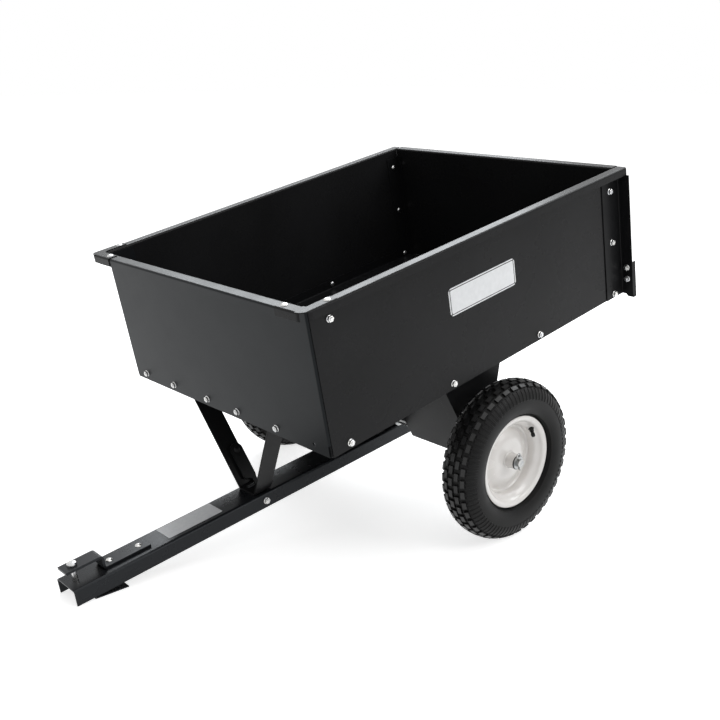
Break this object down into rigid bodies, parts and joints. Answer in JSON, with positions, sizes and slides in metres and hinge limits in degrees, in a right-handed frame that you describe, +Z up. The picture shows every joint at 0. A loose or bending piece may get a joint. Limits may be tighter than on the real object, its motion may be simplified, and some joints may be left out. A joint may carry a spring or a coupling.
{
  "type": "tipping dump cart",
  "caption": "Towed garden cart with a sheet-steel tub that tips back about its axle, lift-out tailgate, pneumatic wheels, channel tongue and pin hitch.",
  "frame": {"origin": "on the ground under the middle of the part's box, with the tongue's front down", "axes": "+Z up, -Y towards the hitch, +Y towards the tailgate, +X towards the cart's left wheel"},
  "size_m": [0.937, 1.4614, 0.8723],
  "materials": {
    "black_paint": "satin black powder coat",
    "zinc_steel": "bright zinc plate",
    "rim_paint": "gloss off-white enamel",
    "tyre_rubber": "black moulded rubber",
    "valve_rubber": "black rubber",
    "bush_plastic": "dark nylon"
  },
  "bodies": {
    "tongue": {"tongue_channel": "black_paint", "tongue_pivot_bracket": "black_paint", "pivot_bracket_bolts": "zinc_steel", "latch_bolt": "zinc_steel", "hitch_strap": "black_paint", "hitch_bolts": "zinc_steel", "tongue_foot": "black_paint"},
    "tub": {"floor_pan": "black_paint", "front_panel": "black_paint", "left_side_panel": "black_paint", "right_side_panel": "black_paint", "left_corner_plate": "black_paint", "right_corner_plate": "black_paint", "left_tailgate_post": "black_paint", "right_tailgate_post": "black_paint", "left_tailgate_clip": "black_paint", "right_tailgate_clip": "black_paint", "left_tailgate_guide": "black_paint", "right_tailgate_guide": "black_paint", "left_axle_bracket": "black_paint", "right_axle_bracket": "black_paint", "left_bracket_cap": "black_paint", "right_bracket_cap": "black_paint", "axle": "zinc_steel", "axle_collars": "zinc_steel", "left_axle_spacer": "zinc_steel", "right_axle_spacer": "zinc_steel", "left_axle_washer": "zinc_steel", "right_axle_washer": "zinc_steel", "left_split_pin": "zinc_steel", "right_split_pin": "zinc_steel", "tub_stand": "black_paint", "lever_pivot_bolt": "zinc_steel", "lever_spacer": "zinc_steel", "front_bolts": "zinc_steel", "left_side_bolts": "zinc_steel", "right_side_bolts": "zinc_steel", "left_post_bolts": "zinc_steel", "right_post_bolts": "zinc_steel", "clip_bolts": "zinc_steel", "corner_bolts": "zinc_steel", "bracket_bolts": "zinc_steel", "stand_bolts": "zinc_steel"},
    "left_wheel": {"left_tyre": "tyre_rubber", "left_rim": "rim_paint", "left_hub": "rim_paint", "left_bushes": "bush_plastic", "left_valve": "valve_rubber"},
    "right_wheel": {"right_tyre": "tyre_rubber", "right_rim": "rim_paint", "right_hub": "rim_paint", "right_bushes": "bush_plastic", "right_valve": "valve_rubber"},
    "tailgate": {"tailgate_panel": "black_paint"},
    "latch_lever": {"latch_lever": "black_paint"},
    "hitch_pin": {"hitch_pin": "zinc_steel"}
  },
  "joints": [
    {"name": "tub_tip", "type": "hinge", "parent": "tongue", "child": "tub", "pos_m": [0, 0.23437, 0.2], "axis": [-1, 0, 0], "range_deg": [0, 50]},
    {"name": "left_wheel_spin", "type": "hinge", "parent": "tub", "child": "left_wheel", "pos_m": [0.421, 0.23437, 0.2], "axis": [1, 0, 0], "continuous": true},
    {"name": "right_wheel_spin", "type": "hinge", "parent": "tub", "child": "right_wheel", "pos_m": [-0.421, 0.23437, 0.2], "axis": [1, 0, 0], "continuous": true},
    {"name": "tailgate_lift", "type": "slide", "parent": "tub", "child": "tailgate", "axis": [0, -0.1961, 0.9806], "range_m": [0, 0.36]},
    {"name": "latch_swing", "type": "hinge", "parent": "tub", "child": "latch_lever", "pos_m": [-0.06427, -0.22153, 0.20029], "axis": [0.8725, -0.0958, 0.4791], "range_deg": [-3, 12]},
    {"name": "hitch_pin_lift", "type": "slide", "parent": "tongue", "child": "hitch_pin", "axis": [0, -0.1497, 0.9887], "range_m": [0, 0.11]}
  ]
}
